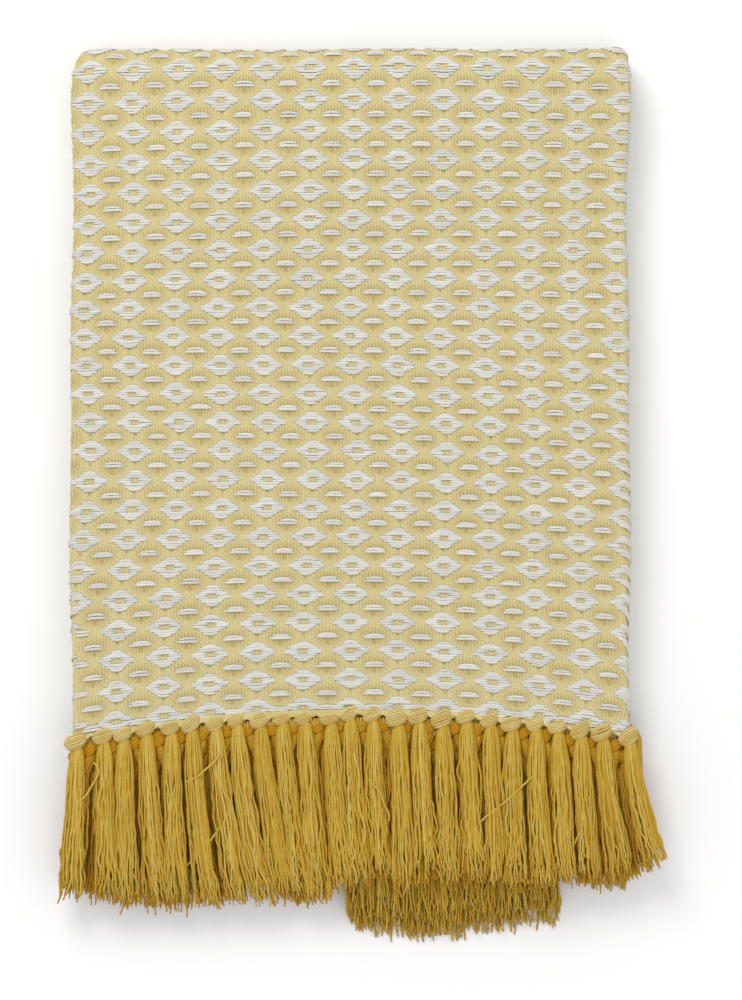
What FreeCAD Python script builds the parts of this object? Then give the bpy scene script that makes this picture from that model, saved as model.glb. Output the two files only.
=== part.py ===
"""A folded cotton throw with a knotted fringe along both of its short ends.

The cloth is one woven sheet. Its two long sides are folded in to the middle and the strip is folded
along the middle again, which makes four plies. That strip is folded in half across its length, and
in half once more, so that the stack is sixteen plies thick and all the fringe lies at one end.

X runs across the folded throw, +Y towards the round top fold and +Z up from the surface it lies on.
The fringe points to -Y. The origin is the middle of the footprint, on that surface. Millimetres.
"""

import FreeCAD, Part
import math
import os

# The open cloth, and how it is folded
CLOTH_WIDTH = 1250.0
CLOTH_LENGTH = 1500.0
PLIES_PER_STRIP = 4
LEGS = 4

# The folded stack
PLY_PITCH = 1.9
PLY_THICKNESS = 1.6
HEM_DROP = 13.5
HEM_CROWN_X = 5.0
HEM_STAGGER = 4.4
BOTTOM_FOLD_SETBACK = 4.0

# The fringe, as knotted bundles of warp ends
KNOTS_ACROSS = 25
KNOT_PITCH = 12.8
KNOT_WIDTH = 10.4
KNOT_HEIGHT = 7.0
KNOT_DEPTH = 3.4
KNOT_GAP = 0.5
KNOT_END_SCALE = 0.5
KNOT_SHOULDER_SCALE = 0.9
FRONT_LENGTHS = ((-160, 80), (-130, 91), (-105, 98), (-25, 98), (0, 87), (105, 86), (135, 79), (160, 68))
BACK_LENGTH = 92.0
TASSEL_NECK_WIDTH = 6.0
TASSEL_NECK_DEPTH = 2.0
TASSEL_END_WIDTH = 11.8
TASSEL_END_DEPTH = 3.0
TASSEL_ROW_PITCH = 3.4
FLOOR_GAP = 0.3
OVAL_SIDES = 10
FAN_LENGTH = 85.0
LENGTH_RIPPLE = 3.0
SWAY_RIPPLE = 0.5
LEAN_LEFT = 6.0
LEAN_RIGHT = 15.0
ROW_TAKE_UP = 4.0
BACK_START_X = -6.0
BACK_CROWN_X = 28.5
BACK_END_X = 100.0
BACK_RISE = 0.00235
BACK_TAKE_UP = 40.0

# Worked out from the sizes above
FOLD_WIDTH = CLOTH_WIDTH / PLIES_PER_STRIP
LEG_LENGTH = CLOTH_LENGTH / LEGS
HALF_WIDTH = FOLD_WIDTH / 2
HALF_PLY = PLY_THICKNESS / 2
STRIP_DEPTH = PLIES_PER_STRIP * PLY_PITCH
PLIES = PLIES_PER_STRIP * LEGS
OUTER_SIDE_RADIUS = 1.5 * PLY_PITCH + HALF_PLY
INNER_SIDE_RADIUS = 1.5 * PLY_PITCH - HALF_PLY
STACK_MIDDLE = OUTER_SIDE_RADIUS + 1.5 * STRIP_DEPTH
STACK_TOP = STACK_MIDDLE + 1.5 * STRIP_DEPTH + OUTER_SIDE_RADIUS
OUTER_BEND_RADIUS = 1.5 * STRIP_DEPTH
INNER_BEND_RADIUS = 0.5 * STRIP_DEPTH

# Y is measured from the bends' common axis while the stack is made
HEM_Y = OUTER_BEND_RADIUS + OUTER_SIDE_RADIUS - LEG_LENGTH + KNOT_HEIGHT / 2
BOTTOM_FOLD_Y = HEM_Y - BOTTOM_FOLD_SETBACK + INNER_BEND_RADIUS + OUTER_SIDE_RADIUS
FRINGE_ROWS = 2 * PLIES_PER_STRIP
KNOT_LIFT = KNOT_DEPTH / 2 - HALF_PLY - (PLY_PITCH - PLY_THICKNESS)

X_AXIS = FreeCAD.Vector(1, 0, 0)
Y_AXIS = FreeCAD.Vector(0, 1, 0)
Z_AXIS = FreeCAD.Vector(0, 0, 1)


def half_turn(centre_x, centre_z, radius, side, upward):
    """A half circle in the XZ plane that bulges to side, run from its low end to its high end or back."""
    low = FreeCAD.Vector(centre_x, 0, centre_z - radius)
    middle = FreeCAD.Vector(centre_x + side * radius, 0, centre_z)
    high = FreeCAD.Vector(centre_x, 0, centre_z + radius)
    ends = (low, middle, high) if upward else (high, middle, low)
    return Part.Arc(*ends).toShape()


def strip_section():
    """The cut across the four-ply strip: two turned-in sides at -X, and one fold round them all at +X."""
    left_x = -HALF_WIDTH + 0.5 * PLY_PITCH + HALF_PLY
    right_x = HALF_WIDTH - OUTER_SIDE_RADIUS
    selvedge_x = right_x - PLY_PITCH
    wide = 0.5 * PLY_PITCH + HALF_PLY
    tight = 0.5 * PLY_PITCH - HALF_PLY
    curves = [
        half_turn(left_x, PLY_PITCH, tight, -1, True),
        half_turn(right_x, 0, INNER_SIDE_RADIUS, 1, False),
        half_turn(left_x, -PLY_PITCH, tight, -1, True),
        half_turn(left_x, -PLY_PITCH, wide, -1, False),
        half_turn(right_x, 0, OUTER_SIDE_RADIUS, 1, True),
        half_turn(left_x, PLY_PITCH, wide, -1, False),
    ]
    edges = []
    for index, curve in enumerate(curves):
        edges.append(curve)
        start = curve.lastVertex(True).Point
        following = curves[(index + 1) % len(curves)].firstVertex(True).Point
        if index in (2, 5):
            out = FreeCAD.Vector(selvedge_x, 0, start.z)
            back = FreeCAD.Vector(selvedge_x, 0, following.z)
            edges.append(Part.LineSegment(start, out).toShape())
            edges.append(Part.LineSegment(out, back).toShape())
            edges.append(Part.LineSegment(back, following).toShape())
        else:
            edges.append(Part.LineSegment(start, following).toShape())
    return Part.Face(Part.Wire(edges))


def hem_y(x, row):
    """The hem of a fringe row, an arch that is highest right of the middle, each lower than the last."""
    return HEM_Y - HEM_DROP * ((x - HEM_CROWN_X) / HALF_WIDTH) ** 2 - HEM_STAGGER * row


def beyond_hem(row):
    """Everything past the arched hem of one ply, as a block as thick as one ply's share of the stack."""
    middle_z = row_z(row)
    reach = HALF_WIDTH + 1
    far = HEM_Y - LEG_LENGTH / 2
    left = FreeCAD.Vector(-reach, hem_y(-reach, row), 0)
    crown = FreeCAD.Vector(HEM_CROWN_X, hem_y(HEM_CROWN_X, row), 0)
    right = FreeCAD.Vector(reach, hem_y(reach, row), 0)
    far_left = FreeCAD.Vector(-reach, far, 0)
    far_right = FreeCAD.Vector(reach, far, 0)
    outline = Part.Wire(
        [
            Part.Arc(left, crown, right).toShape(),
            Part.LineSegment(right, far_right).toShape(),
            Part.LineSegment(far_right, far_left).toShape(),
            Part.LineSegment(far_left, left).toShape(),
        ]
    )
    block = Part.Face(outline).extrude(Z_AXIS * PLY_PITCH)
    block.translate(Z_AXIS * (middle_z - PLY_PITCH / 2))
    return block


def row_z(row):
    """The height of the ply that a fringe row hangs from, counted down from the top ply."""
    return STACK_TOP - HALF_PLY - PLY_PITCH * row


def leg(section, middle_z, end_y, first_row=None):
    """One straight length of the strip, from the top bends down to its fold or its hem."""
    strip = section.extrude(Y_AXIS * end_y)
    strip.translate(Z_AXIS * middle_z)
    if first_row is not None:
        strip = strip.cut([beyond_hem(first_row + ply) for ply in range(PLIES_PER_STRIP)])
    return strip


def bend(section, radius, middle_z, at_y, side):
    """The strip turned through half a circle, bulging to +Y or -Y."""
    start = section.copy()
    start.translate(FreeCAD.Vector(0, at_y, middle_z + radius))
    centre = FreeCAD.Vector(0, at_y, middle_z)
    return start.revolve(centre, X_AXIS * -side, 180)


def oval(width, height):
    """A many-sided oval about the origin, as (across, up) corners."""
    corners = []
    for index in range(OVAL_SIDES):
        angle = 2 * math.pi * (index + 0.5) / OVAL_SIDES
        corners.append((width / 2 * math.cos(angle), height / 2 * math.sin(angle)))
    return corners


def knot_wire(x, scale):
    """One cut through a knot, a flat oval across its length, at x along it."""
    corners = [FreeCAD.Vector(x, y, z) for y, z in oval(KNOT_HEIGHT * scale, KNOT_DEPTH * scale)]
    return Part.makePolygon(corners + corners[:1])


def knot_shape():
    """A fat overhand knot, widest across the throw and drawn in at its two ends."""
    reach = KNOT_WIDTH / 2
    cuts = [
        knot_wire(-reach, KNOT_END_SCALE),
        knot_wire(-reach / 2, KNOT_SHOULDER_SCALE),
        knot_wire(0, 1.0),
        knot_wire(reach / 2, KNOT_SHOULDER_SCALE),
        knot_wire(reach, KNOT_END_SCALE),
    ]
    return Part.makeLoft(cuts, True, True)


def tassel_wire(place, width, depth):
    """One cut through a tassel: a flat oval that faces along Y."""
    corners = [place + FreeCAD.Vector(x, 0, z) for x, z in oval(width, depth)]
    return Part.makePolygon(corners + corners[:1])


def row_knots(row):
    """Where one row's knots lie, on the ply below, half a pitch to the side of the rows next to it."""
    count = KNOTS_ACROSS - row % 2
    first = -KNOT_PITCH * (count - 1) / 2
    places = []
    for index in range(count):
        x = first + KNOT_PITCH * index
        y = hem_y(x, row) - KNOT_GAP - KNOT_HEIGHT / 2
        places.append(FreeCAD.Vector(x, y, row_z(row) + KNOT_LIFT))
    return places


def lean(x):
    """How far the end of a tassel is spread sideways, most of all at the two edges."""
    share = x / HALF_WIDTH
    return (LEAN_RIGHT if x > 0 else LEAN_LEFT) * share**3


def fringe_z(x, y, row):
    """The height of a row of tassels, which spread from ply pitch to their own thickness past the knots."""
    past_knots = hem_y(x, FRINGE_ROWS - 1) - KNOT_GAP - KNOT_HEIGHT - y
    spread = math.sin(math.pi / 2 * min(max(past_knots / FAN_LENGTH, 0.0), 1.0))
    start_z = row_z(row) + KNOT_LIFT
    end_z = FLOOR_GAP + TASSEL_END_DEPTH / 2 + TASSEL_ROW_PITCH * (FRINGE_ROWS - 1 - row)
    return start_z + (end_z - start_z) * spread


def front_length(x):
    """The straight length of the front tassels at x, from the lengths on both sides of it."""
    for (left, at_left), (right, at_right) in zip(FRONT_LENGTHS, FRONT_LENGTHS[1:]):
        if x <= right:
            break
    return at_left + (at_right - at_left) * (x - left) / (right - left)


def straight_length(x, row):
    """The straight length of a tassel. The back half's are mostly bent, but not right of the middle."""
    if row < PLIES_PER_STRIP:
        return front_length(x) - ROW_TAKE_UP * row
    if x < BACK_START_X or x > BACK_END_X:
        return BACK_LENGTH - BACK_TAKE_UP
    return BACK_LENGTH - BACK_RISE * (x - BACK_CROWN_X) ** 2


def tassel(knot, row, index):
    """A bundle of yarns from the underside of its knot to its cut end, wider and thicker as it goes."""
    phase = 1.7 * index + 2.3 * row
    length = straight_length(knot.x, row) + LENGTH_RIPPLE * math.sin(phase)
    sideways = lean(knot.x) + SWAY_RIPPLE * math.sin(2.9 * phase)
    start_y = knot.y - KNOT_HEIGHT / 2
    cuts = []
    for share in (0.0, 0.3, 0.6, 1.0):
        y = start_y - length * share
        place = FreeCAD.Vector(knot.x + sideways * share**1.5, y, fringe_z(knot.x, y, row))
        width = TASSEL_NECK_WIDTH + (TASSEL_END_WIDTH - TASSEL_NECK_WIDTH) * share**0.6
        depth = TASSEL_NECK_DEPTH + (TASSEL_END_DEPTH - TASSEL_NECK_DEPTH) * share
        cuts.append(tassel_wire(place, width, depth))
    return Part.makeLoft(cuts, True, True)


def cloth_nodes():
    """The cloth as its four legs and the three bends between them, in the order the strip runs."""
    section = strip_section()
    heights = [STACK_MIDDLE + (1.5 - level) * STRIP_DEPTH for level in range(LEGS)]
    top, second, third, bottom = heights
    low_middle = (third + bottom) / 2
    reach = HEM_Y - HEM_DROP - HEM_STAGGER * FRINGE_ROWS - KNOT_HEIGHT
    return {
        "top_panel": leg(section, top, reach, 0),
        "outer_top_fold": bend(section, OUTER_BEND_RADIUS, STACK_MIDDLE, 0, 1),
        "bottom_panel": leg(section, bottom, BOTTOM_FOLD_Y),
        "lower_fold": bend(section, INNER_BEND_RADIUS, low_middle, BOTTOM_FOLD_Y, -1),
        "third_panel": leg(section, third, BOTTOM_FOLD_Y),
        "inner_top_fold": bend(section, INNER_BEND_RADIUS, STACK_MIDDLE, 0, 1),
        "second_panel": leg(section, second, reach, PLIES_PER_STRIP),
    }


def fringe_nodes():
    """A node for each row's knots, for each tassel of the front row, and for each row of tassels behind."""
    prototype = knot_shape()
    nodes = {}
    for row in range(FRINGE_ROWS):
        places = row_knots(row)
        knots = []
        for place in places:
            knot = prototype.copy()
            knot.translate(place)
            knots.append(knot)
        nodes[f"knots_row_{row + 1}"] = Part.makeCompound(knots)
        tassels = [tassel(place, row, index) for index, place in enumerate(places)]
        if row == 0:
            for index, shape in enumerate(tassels):
                nodes[f"front_tassel_{index + 1:02d}"] = shape
        else:
            nodes[f"tassels_row_{row + 1}"] = Part.makeCompound(tassels)
    return nodes


def main():
    os.makedirs("parts", exist_ok=True)
    nodes = cloth_nodes()
    nodes.update(fringe_nodes())
    box = Part.makeCompound(list(nodes.values())).optimalBoundingBox(True, False)
    shift = FreeCAD.Vector(-box.Center.x, -box.Center.y, -box.ZMin)
    for name, shape in nodes.items():
        shape.translate(shift)
        shape.exportStep(f"parts/{name}.step")
        print(f"{name}: {len(shape.Solids)} solids, {shape.Volume / 1000:.2f} cm3, valid {shape.isValid()}")
    print(f"whole: {box.XLength:.1f} x {box.YLength:.1f} x {box.ZLength:.1f} mm")
    print(f"shift: {shift.x:.2f}, {shift.y:.2f}, {shift.z:.2f} mm")


main()
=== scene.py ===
"""A folded cotton throw: one woven sheet in sixteen plies, its weft floats, and its knotted fringe.

The cloth is a sheet that is placed by two curves: across() turns its sides in to make a four-ply strip,
and along() folds that strip twice across its length. Everything woven into the cloth is placed
through the same two curves, so it all lies on the one sheet; the fringe's knots hang from the same hem
line, hem_y(), that along() uses.
"""

import math

import bpy
import numpy as np
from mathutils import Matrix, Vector


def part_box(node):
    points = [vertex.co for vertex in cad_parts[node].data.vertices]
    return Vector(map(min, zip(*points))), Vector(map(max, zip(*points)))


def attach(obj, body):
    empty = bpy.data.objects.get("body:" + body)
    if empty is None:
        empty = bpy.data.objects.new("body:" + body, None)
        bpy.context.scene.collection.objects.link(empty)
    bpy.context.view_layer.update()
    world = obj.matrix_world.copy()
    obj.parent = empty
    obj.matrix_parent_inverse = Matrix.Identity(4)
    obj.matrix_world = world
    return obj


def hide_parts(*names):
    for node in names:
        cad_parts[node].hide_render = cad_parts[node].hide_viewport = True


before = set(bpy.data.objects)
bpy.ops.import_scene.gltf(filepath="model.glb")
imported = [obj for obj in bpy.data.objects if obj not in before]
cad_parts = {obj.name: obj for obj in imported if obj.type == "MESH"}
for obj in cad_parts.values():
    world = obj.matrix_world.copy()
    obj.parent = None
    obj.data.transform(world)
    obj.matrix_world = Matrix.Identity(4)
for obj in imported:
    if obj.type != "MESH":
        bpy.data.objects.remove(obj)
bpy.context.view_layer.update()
MM = 0.001
FLOOR_GAP = 0.1 * MM
RANDOM = np.random.default_rng(11)

# The folded stack, as the frame has it
PANEL_LOW, PANEL_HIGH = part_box("top_panel")
BEND_LOW, BEND_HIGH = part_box("outer_top_fold")
LOWER_FOLD_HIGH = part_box("lower_fold")[1]
MID_X = (PANEL_LOW[0] + PANEL_HIGH[0]) / 2
HALF_WIDTH = (PANEL_HIGH[0] - PANEL_LOW[0]) / 2
TOP_Y = BEND_HIGH[1]
AXIS_Y = BEND_LOW[1]
LOWER_Y = LOWER_FOLD_HIGH[1]
STACK_TOP = BEND_HIGH[2]
MIDDLE_Z = STACK_TOP / 2
STRIP_SOLID = PANEL_HIGH[2] - PANEL_LOW[2]
PLY_PITCH = (STACK_TOP - STRIP_SOLID) / 12
PLY_SOLID = STRIP_SOLID - 3 * PLY_PITCH
STRIP_DEPTH = 4 * PLY_PITCH
OUTER_RADIUS = 1.5 * STRIP_DEPTH
INNER_RADIUS = 0.5 * STRIP_DEPTH

# The fringe, as the frame has it
ROWS = 8
ROW_BOXES = [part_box(f"knots_row_{row + 1}") for row in range(ROWS)]
KNOT_PITCH = 12.8 * MM
KNOT_HALF_HEIGHT = 3.65 * MM
FAN_LENGTH = 85.0 * MM
UP = np.array([0.0, 0.0, 1.0])
HEM_Y = ROW_BOXES[0][1][1]
HEM_STAGGER = (ROW_BOXES[0][1][1] - ROW_BOXES[-1][1][1]) / (ROWS - 1)
HEM_DROP = 13.5 * MM
HEM_CROWN = MID_X + 5.0 * MM
HEM_REACH = 156.25 * MM
# Millimetres right of the middle, then the front tassels' straight length or how far their ends lean right
FRONT_LENGTHS = ((-160, 80), (-130, 91), (-105, 98), (-25, 98), (0, 87), (105, 86), (135, 79), (160, 68))
FRONT_LEANS = (
    (-160, -7), (-135, 0), (-100, 5), (-60, 14), (-30, 11),
    (0, 5), (60, 3), (110, 4), (140, 9), (160, 15),
)
BACK_LENGTH = 92.0 * MM
ROW_TAKE_UP = 4.0 * MM
BACK_START = MID_X - 6.0 * MM
BACK_CROWN = MID_X + 28.5 * MM
BACK_END = MID_X + 110.0 * MM
BACK_RISE = 2.35
BACK_TAKE_UP = 40.0 * MM
BLOCK_EDGE = 12 * MM
DROOP_START = 40 * MM
DROOP = 10 * MM
KNOT_SIZE = np.array([6.5, 4.3, 3.0]) * MM
KNOT_YARN = 0.8 * MM
HEM_YARN = 0.95 * MM
TASSEL_YARN = 0.64 * MM
STRAY_YARN = 0.62 * MM
CORE_YARNS = 7
FRONT_YARNS = 23
LOWER_YARNS = 16
# A tassel yarn's waves: how large each is, and how long
WAVE_SIZES = np.array([0.6, 0.42, 0.24, 0.1]) * MM
WAVE_LENGTHS = np.array([80, 38, 16, 7]) * MM
# Loose yarns, in millimetres: start right of the middle and below the hem, run right and down, and bend
STRAYS = (
    (-144, 16, -12, 24, 6),
    (-74, 18, -18, 18, 3),
    (-68, 46, -27, 40, 4),
    (110, 24, -40, 36, -5),
    (12, 40, 9, 22, 4),
    (128, 52, -12, 30, 3),
    (-112, 60, 13, 26, -3),
)

# The cut across the strip: turned-in sides at -X and one fold round all four plies at +X
LEFT_X = -HALF_WIDTH + PLY_SOLID / 2 + PLY_PITCH / 2
RIGHT_X = HALF_WIDTH - PLY_SOLID / 2 - 1.5 * PLY_PITCH
SPAN = RIGHT_X - LEFT_X
TIGHT_TURN = math.pi * PLY_PITCH / 2
WIDE_TURN = math.pi * PLY_PITCH * 1.5
U_MARKS = np.cumsum(
    [0, SPAN - PLY_PITCH, TIGHT_TURN, SPAN, WIDE_TURN, SPAN, TIGHT_TURN, SPAN - PLY_PITCH]
)

# The run along the strip: leg 1, outer top bend, leg 2, lower fold, leg 3, inner top bend, leg 4
FRONT_LEG = AXIS_Y - HEM_Y
LOW_LEG = AXIS_Y - LOWER_Y
V_MARKS = np.cumsum(
    [
        0,
        FRONT_LEG,
        math.pi * OUTER_RADIUS,
        LOW_LEG,
        math.pi * INNER_RADIUS,
        LOW_LEG,
        math.pi * INNER_RADIUS,
        FRONT_LEG + ROWS / 2 * HEM_STAGGER,
    ]
)

# How the stack has settled: drawn-in top corners, and sides that spread below them and at the foot
LEFT_DRAW = 0.045
RIGHT_DRAW = 0.02
CORNER_REACH = 9 * MM
LEFT_SPREAD = 0.2
RIGHT_SPREAD = 1.3
SHOULDER_PLACE = 32 * MM
SHOULDER_REACH = 28 * MM
FOOT_RANGE = (330 * MM, 370 * MM)
CROWN_REACH = 12 * MM
HUMP_HEIGHT = 1.2
HUMP_SIDE = -0.90
HUMP_REACH = 0.045

# The weave: one repeat is 14 warp ridges by 12 picks, with a diamond in it and a dash half-way to the next
REPEAT_X = 24.9 * MM
REPEAT_Y = 16.3 * MM
RIDGES = 14
PICKS = 12
COLUMNS = 7
FIRST_ROW = -4.1 * MM
ROW_SWELL = 3.9 * MM
FACE_ROWS = 22
BASE_THICKNESS = 1.0 * MM
GROUND_LIFT = 0.95 * MM
RIDGE_HEIGHT = 0.6 * MM
FLOAT_LIFT = 1.4 * MM
FLOAT_HALF_WIDTH = 0.79 * MM
FLOAT_HALF_HEIGHT = 0.46 * MM
FLOAT_BOW = 1.0 * MM


def smooth(x, low, high):
    """0 below low and 1 above high, with an even S between."""
    share = np.clip((x - low) / (high - low), 0, 1)
    return share * share * (3 - 2 * share)


def hem_y(x, row):
    """The hem of a fringe row, lower at both sides than near the middle."""
    return HEM_Y - HEM_DROP * ((x - HEM_CROWN) / HEM_REACH) ** 2 - HEM_STAGGER * row


def across(u):
    """For a place u across the open cloth: x and depth in the strip, and which way the front face looks."""
    m = U_MARKS
    tight, wide = PLY_PITCH / 2, PLY_PITCH * 1.5
    first = math.pi * np.clip((u - m[1]) / TIGHT_TURN, 0, 1)
    main = math.pi * np.clip((u - m[3]) / WIDE_TURN, 0, 1)
    last = math.pi * np.clip((u - m[5]) / TIGHT_TURN, 0, 1)
    parts = [u < m[1], u < m[2], u < m[3], u < m[4], u < m[5], u < m[6], u >= m[6]]
    flat = np.zeros_like(u)
    x = np.select(
        parts,
        [
            LEFT_X + m[1] - u,
            LEFT_X - tight * np.sin(first),
            LEFT_X + u - m[2],
            RIGHT_X + wide * np.sin(main),
            RIGHT_X - (u - m[4]),
            LEFT_X - tight * np.sin(last),
            LEFT_X + u - m[6],
        ],
    )
    depth = np.select(
        parts,
        [
            flat + tight,
            PLY_PITCH - tight * np.cos(first),
            flat + wide,
            wide * np.cos(main),
            flat - wide,
            -PLY_PITCH - tight * np.cos(last),
            flat - tight,
        ],
    )
    turn = np.select(
        parts,
        [
            flat - math.pi,
            first - math.pi,
            flat,
            main,
            flat + math.pi,
            math.pi + last,
            flat + 2 * math.pi,
        ],
    )
    return x, depth, np.sin(turn), np.cos(turn)


def along(v, x, depth):
    """For a place v along the strip at x and depth: y and z, and which way the strip's outer side looks."""
    m = V_MARKS
    share = np.clip(v / m[1], 0, 1)
    front_hem = hem_y(x, (1.5 * PLY_PITCH - depth) / PLY_PITCH)
    back_hem = hem_y(x, ROWS / 2 + (1.5 * PLY_PITCH + depth) / PLY_PITCH)
    back_share = np.clip((v - m[6]) / (m[7] - m[6]), 0, 1)
    outer = np.clip((v - m[1]) / OUTER_RADIUS, 0, math.pi)
    lower = np.clip((v - m[3]) / INNER_RADIUS, 0, math.pi)
    inner = np.clip((v - m[5]) / INNER_RADIUS, 0, math.pi)
    low_z = MIDDLE_Z - OUTER_RADIUS
    third_z = MIDDLE_Z - INNER_RADIUS
    fold_z = (low_z + third_z) / 2
    parts = [v < m[1], v < m[2], v < m[3], v < m[4], v < m[5], v < m[6], v >= m[6]]
    flat = np.zeros_like(v)
    y = np.select(
        parts,
        [
            front_hem + (AXIS_Y - front_hem) * share,
            AXIS_Y + (OUTER_RADIUS + depth) * np.sin(outer),
            AXIS_Y - (v - m[2]),
            LOWER_Y - (INNER_RADIUS + depth) * np.sin(lower),
            LOWER_Y + (v - m[4]),
            AXIS_Y + (INNER_RADIUS - depth) * np.sin(inner),
            AXIS_Y + (back_hem - AXIS_Y) * back_share,
        ],
    )
    z = np.select(
        parts,
        [
            MIDDLE_Z + OUTER_RADIUS + depth,
            MIDDLE_Z + (OUTER_RADIUS + depth) * np.cos(outer),
            low_z - depth,
            fold_z - (INNER_RADIUS + depth) * np.cos(lower),
            third_z + depth,
            MIDDLE_Z - (INNER_RADIUS - depth) * np.cos(inner),
            MIDDLE_Z + INNER_RADIUS - depth,
        ],
    )
    turn = np.select(
        parts,
        [flat, outer, flat + math.pi, math.pi + lower, flat, -inner, flat + math.pi],
    )
    return y, z, np.sin(turn), np.cos(turn)


def settle(points):
    """The soft unevenness of the stack: drawn-in top corners, wavy sides, sheared plies and low swells."""
    x, y, z = points[..., 0], points[..., 1], points[..., 2]
    side = (x - MID_X) / HALF_WIDTH
    below_top = np.clip(TOP_Y - y, 0, None)
    drawn = np.where(side < 0, LEFT_DRAW, RIGHT_DRAW) * np.exp(-below_top / CORNER_REACH)
    wave = 0.8 * np.sin(21 * y + 1.4) + 0.5 * np.sin(47 * y + 3 * side)
    shear = 1.0 * np.sin(330 * z + 9 * y) * (1 - z / STACK_TOP)
    swell = 0.035 * np.sin(24 * x + 9 * y) + 0.03 * np.sin(31 * y - 14 * x + 2)
    shoulder = np.exp(-((below_top - SHOULDER_PLACE) / SHOULDER_REACH) ** 2)
    spread = np.where(side > 0, RIGHT_SPREAD, LEFT_SPREAD) * (shoulder + smooth(below_top, *FOOT_RANGE))
    hump = HUMP_HEIGHT * np.exp(-(((side - HUMP_SIDE) / HUMP_REACH) ** 2))
    crown = 0.6 + 0.5 * np.sin(47 * x + 0.6) + 0.7 * side + hump
    crown = crown * np.exp(-below_top / CROWN_REACH) * smooth(z, 0, STACK_TOP)
    moved = np.empty_like(points)
    moved[..., 0] = x - (x - MID_X) * drawn + (wave * side + spread * side + shear) * MM
    moved[..., 1] = y + crown * MM
    moved[..., 2] = z * (0.985 + swell * smooth(z, 0, STACK_TOP))
    return moved


def surface(u, v, lift):
    """Points of the folded cloth, lifted off its front face, with the direction that face looks in."""
    x, depth, face_x, face_depth = across(u)
    y, z, out_y, out_z = along(v, x + MID_X, depth)
    facing = np.stack([face_x, face_depth * out_y, face_depth * out_z], axis=-1)
    points = np.stack([x + MID_X, y, z], axis=-1) + facing * np.asarray(lift)[..., None]
    return settle(points), facing


def face_place(column, row):
    """Cloth coordinates for a place in the top panel's weave, with the pull that the folding gave it."""
    down = FIRST_ROW + REPEAT_Y * row
    down = down + ROW_SWELL * np.sin(math.pi * np.clip(row / FACE_ROWS, 0, 1) ** 0.75)
    fall = np.clip(row / (FACE_ROWS + 1), 0, 1)
    drift = 2.2 + 2.2 * np.cos(4 * math.pi * (fall - 0.58)) * np.exp(-(((fall - 0.5) / 0.35) ** 2))
    drift = drift - 2.8 * fall**6
    q = column * REPEAT_X * (1 + 0.06 * smooth(fall, 0.6, 0.92)) + drift * MM
    side = q / HALF_WIDTH
    arch = (2.5 + 10.7 * fall**5) * np.minimum(side**2, 1.2)
    tilt = 2.5 * np.sin(2 * math.pi * (fall - 0.32) / 0.95) * np.sin(math.pi * fall) * side
    down = down + (arch + tilt) * MM
    u = U_MARKS[2] + q - LEFT_X
    outer = OUTER_RADIUS + 1.5 * PLY_PITCH
    y = AXIS_Y - down
    x = np.clip(q, LEFT_X, RIGHT_X) + MID_X
    hem = hem_y(x, 0)
    on_leg = V_MARKS[1] * (y - hem) / (AXIS_Y - hem)
    on_bend = V_MARKS[1] - down * OUTER_RADIUS / outer
    return u, np.where(down > 0, on_leg, on_bend)


def hem_place(column, row):
    """Cloth coordinates for a place on the last pick before the front knots, row repeats up from it."""
    u, _ = face_place(column, np.full_like(column, FACE_ROWS + 0.4))
    return u, 2.4 * MM - row * REPEAT_Y


def plain_place(column, row):
    """Cloth coordinates for a place in the weave of the folded sides."""
    return column * REPEAT_X, row * REPEAT_Y


# Mesh making


def build_mesh(name, points, quads, caps=None, values=None):
    """A smooth mesh object from arrays: points, four-sided faces, many-sided caps and per-point values."""
    points = np.array(points)
    points[:, 2] = np.maximum(points[:, 2], FLOOR_GAP)
    quads = np.asarray(quads, dtype=np.int64).reshape(-1, 4)
    corners = [quads.ravel()]
    starts = [np.arange(len(quads)) * 4]
    total = quads.size
    if caps is not None and len(caps):
        corners.append(caps.ravel())
        starts.append(total + np.arange(len(caps)) * caps.shape[1])
        total += caps.size
    mesh = bpy.data.meshes.new(name)
    mesh.vertices.add(len(points))
    mesh.vertices.foreach_set("co", np.ascontiguousarray(points, dtype=np.float32).ravel())
    mesh.loops.add(total)
    mesh.loops.foreach_set("vertex_index", np.concatenate(corners).astype(np.int32))
    faces = np.concatenate(starts).astype(np.int32)
    mesh.polygons.add(len(faces))
    mesh.polygons.foreach_set("loop_start", faces)
    mesh.update(calc_edges=True)
    mesh.polygons.foreach_set("use_smooth", np.ones(len(faces), dtype=bool))
    for key, value in (values or {}).items():
        value = np.ascontiguousarray(value, dtype=np.float32)
        kind = "FLOAT_VECTOR" if value.ndim == 2 else "FLOAT"
        attribute = mesh.attributes.new(key, kind, "POINT")
        attribute.data.foreach_set("vector" if value.ndim == 2 else "value", value.ravel())
    piece = bpy.data.objects.new(name, mesh)
    bpy.context.scene.collection.objects.link(piece)
    return piece


def finish_piece(piece, material, nodes=()):
    """Gives a piece its material and its body, and hides the CAD nodes that it stands for."""
    piece.data.materials.append(material)
    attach(piece, "root")
    if nodes:
        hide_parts(*nodes)
    return piece


def unit(vectors):
    """Vectors scaled to a length of one."""
    return vectors / np.maximum(np.linalg.norm(vectors, axis=-1, keepdims=True), 1e-12)


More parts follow.
